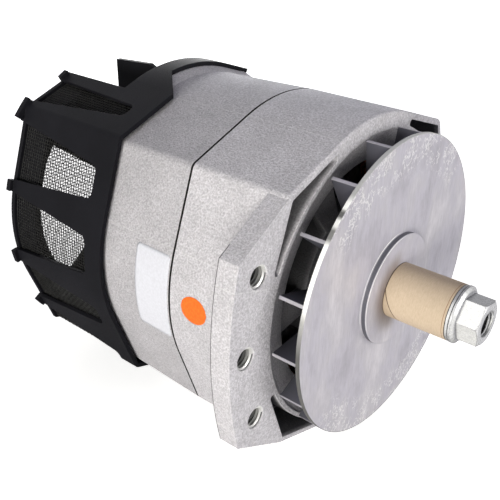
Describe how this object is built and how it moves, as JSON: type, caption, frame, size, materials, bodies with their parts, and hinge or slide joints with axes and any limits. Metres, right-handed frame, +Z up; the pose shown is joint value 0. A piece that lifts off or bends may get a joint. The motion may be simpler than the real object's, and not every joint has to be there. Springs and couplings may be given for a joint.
{
  "type": "alternator",
  "caption": "Heavy-duty brushless vehicle alternator with an open fan, side mounting pad and black vented rear cover.",
  "frame": {"origin": "on the shaft axis, at the front face of the fan boss, where a pulley seats", "axes": "+Y rearward along the shaft, +X right seen from the pulley end, +Z up; the mounting pad is on the left"},
  "size_m": [0.2081, 0.2679, 0.1914],
  "materials": {
    "cast_aluminium": "satin",
    "fan_aluminium": "satin",
    "plain_aluminium": "satin",
    "steel": "satin",
    "zinc_steel": "satin",
    "iron": "matte",
    "copper_winding": "gloss",
    "brass": "satin",
    "black_plastic": "matte",
    "dark_wire": "satin",
    "black_rubber": "matte",
    "kraft_paper": "matte"
  },
  "bodies": {
    "casing": {"drive_end_housing": "cast_aluminium", "rear_housing": "cast_aluminium", "joint_gasket": "black_rubber", "front_bearing_outer_ring": "steel", "rear_bearing_outer_ring": "steel", "bearing_retainer": "steel", "retainer_screws": "zinc_steel", "field_core": "iron", "field_coil": "copper_winding", "field_core_screws": "zinc_steel", "stator_core": "iron", "stator_winding": "copper_winding", "through_bolts": "zinc_steel", "rear_cover": "black_plastic", "mesh_screen": "dark_wire", "rear_mesh": "dark_wire", "screen_clamp_ring": "black_plastic", "cover_standoffs": "steel", "cover_screws": "zinc_steel", "rectifier_positive_plate": "plain_aluminium", "rectifier_negative_plate": "plain_aluminium", "rectifier_feet": "black_plastic", "rectifier_screws": "zinc_steel", "rectifier_diodes": "steel", "terminal_board": "black_plastic", "regulator": "black_plastic", "regulator_screws": "zinc_steel", "terminal_block": "black_plastic", "output_stud": "brass", "output_nut": "brass", "ground_stud": "brass", "ground_nut": "brass"},
    "rotor": {"rotor_shaft": "steel", "shaft_key": "steel", "fan": "fan_aluminium", "fan_spacer": "steel", "shaft_sleeve": "kraft_paper", "nut_washer": "zinc_steel", "shaft_nut": "zinc_steel", "front_bearing_inner_ring": "steel", "rear_bearing_inner_ring": "steel", "front_pole_wheel": "iron", "rear_pole_wheel": "iron", "pole_joining_ring": "steel"},
    "front_rollers": {"front_bearing_rollers": "steel"},
    "rear_rollers": {"rear_bearing_rollers": "steel"}
  },
  "joints": [
    {"name": "rotor_spin", "type": "hinge", "parent": "casing", "child": "rotor", "pos_m": [0, 0, 0], "axis": [0, 1, 0], "continuous": true},
    {"name": "front_rollers_spin", "type": "hinge", "parent": "casing", "child": "front_rollers", "pos_m": [0, 0.0415, 0], "axis": [0, 1, 0], "continuous": true},
    {"name": "rear_rollers_spin", "type": "hinge", "parent": "casing", "child": "rear_rollers", "pos_m": [0, 0.126, 0], "axis": [0, 1, 0], "continuous": true}
  ],
  "couplings": [
    {"joint": "front_rollers_spin", "follows": "rotor_spin", "ratio": 0.39},
    {"joint": "rear_rollers_spin", "follows": "rotor_spin", "ratio": 0.39}
  ]
}
